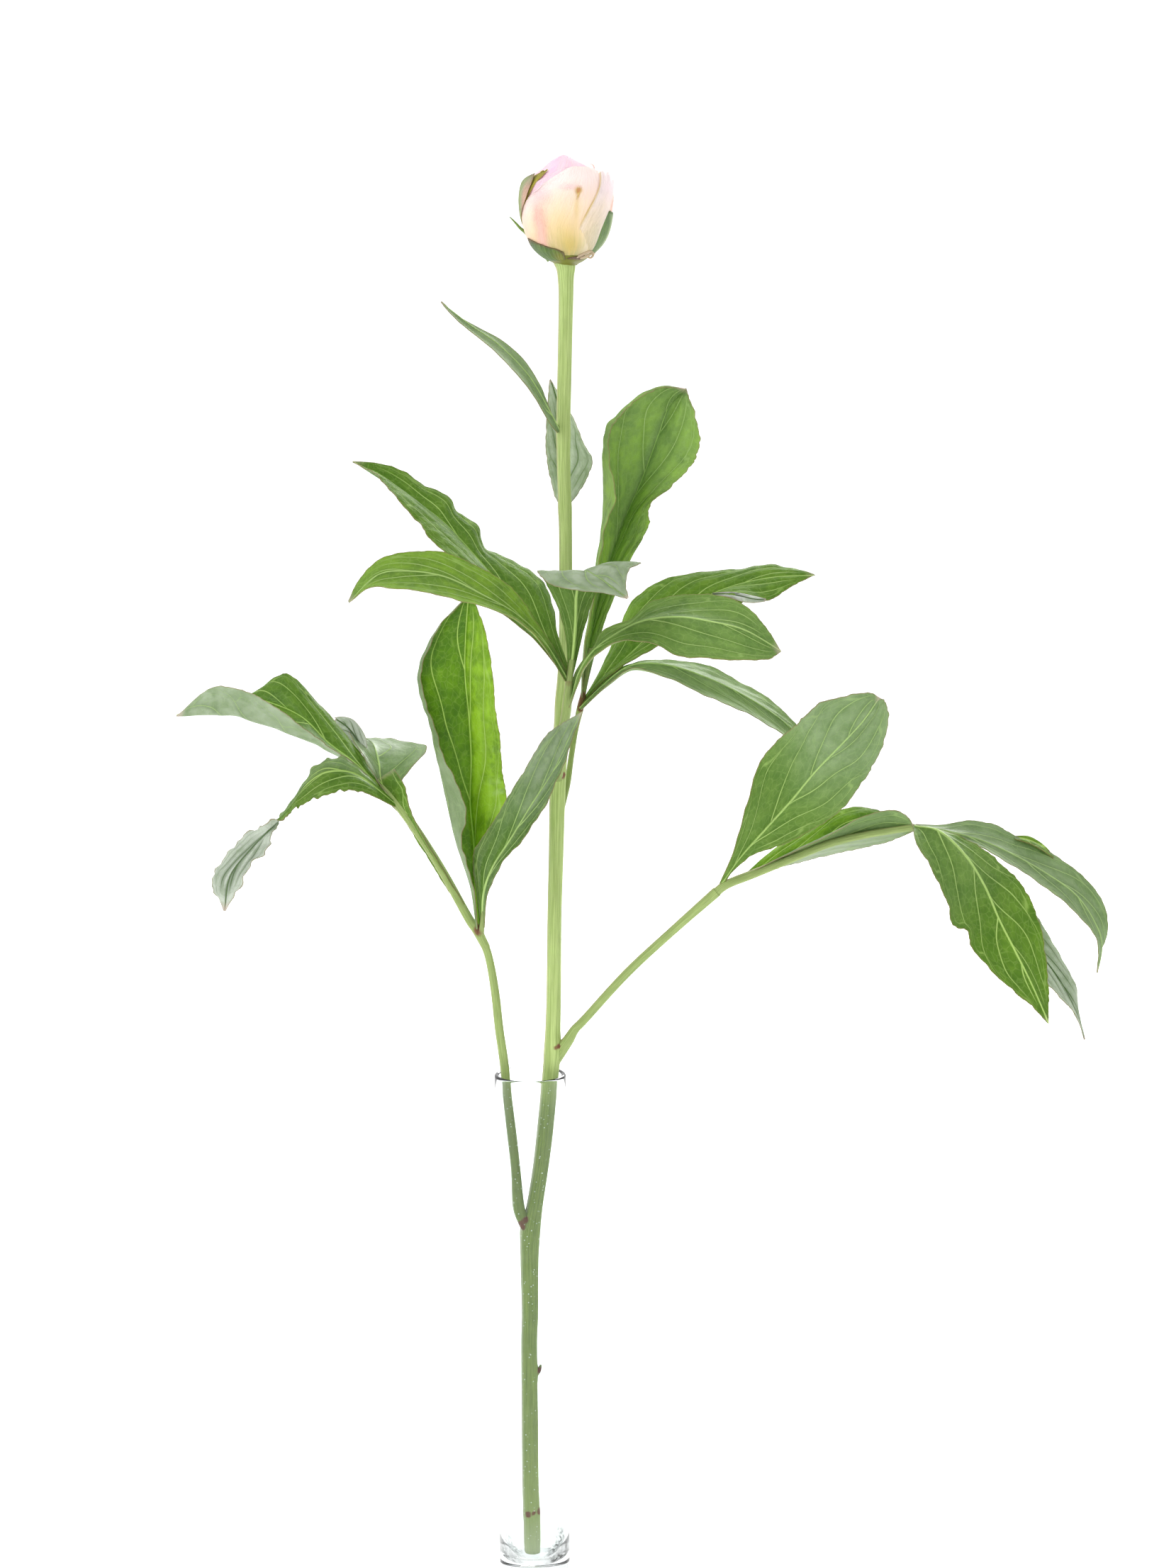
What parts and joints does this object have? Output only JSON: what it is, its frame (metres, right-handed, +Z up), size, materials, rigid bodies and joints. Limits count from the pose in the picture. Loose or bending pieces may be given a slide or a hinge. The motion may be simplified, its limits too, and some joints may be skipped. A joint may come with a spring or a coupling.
{
  "type": "cut peony in a bud vase",
  "caption": "Closed peony bud on a tall leafy cut stem, standing in a slim straight bud vase of clear glass.",
  "frame": {"origin": "centre of the vase's flat foot, on the surface it stands on", "axes": "+Z up the vase and the stem, +X to the side of the long leaf, -Y to the side that the picture shows"},
  "size_m": [0.3977, 0.1332, 0.611],
  "materials": {
    "glass": "gloss",
    "stem": "satin",
    "leaf": "satin",
    "sepal": "satin",
    "petal": "matte"
  },
  "bodies": {
    "root": {"vase": "glass", "stem": "stem", "leaf_left": "leaf", "leaf_right": "leaf", "leaf_front": "leaf", "leaf_back": "leaf", "bract_left": "leaf", "bract_back": "leaf", "calyx": "sepal", "bud_petals": "petal"}
  },
  "joints": []
}
